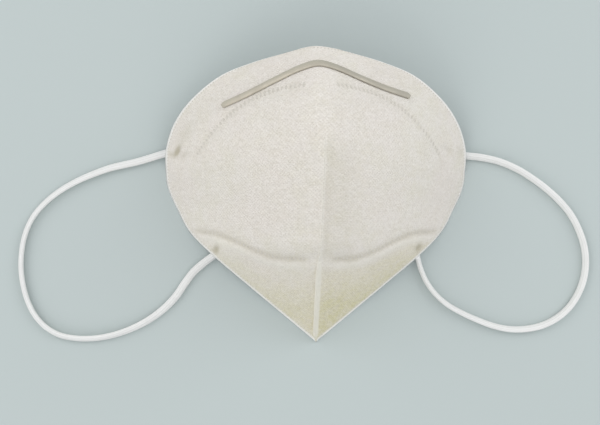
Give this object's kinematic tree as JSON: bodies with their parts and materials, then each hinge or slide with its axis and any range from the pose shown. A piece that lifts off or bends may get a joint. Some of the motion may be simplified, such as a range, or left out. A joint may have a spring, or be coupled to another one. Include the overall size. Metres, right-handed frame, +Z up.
{
  "type": "disposable respirator",
  "caption": "Opened fold-flat respirator lying on its rim, with a creased cup, a welded chin seam, a bent nose clip and elastic ear loops laid out beside it",
  "frame": {"origin": "under the middle of the cup, level with the surface it lies on", "axes": "+X to the right of the cup as it is seen from above with the nose away from the viewer, +Y from chin to nose, +Z up from the face side to the outer face"},
  "size_m": [0.2613, 0.1296, 0.062],
  "materials": {
    "bonded_cloth": "matte bonded nonwoven, slightly warm white",
    "clip_metal": "satin, lightly handled",
    "elastic": "matte white knitted cord"
  },
  "bodies": {
    "root": {"facepiece": "bonded_cloth", "nose_clip": "clip_metal", "ear_loop_left": "elastic", "ear_loop_right": "elastic", "loop_weld_upper_left": "elastic", "loop_weld_upper_right": "elastic", "loop_weld_lower_left": "elastic", "loop_weld_lower_right": "elastic"}
  },
  "joints": []
}
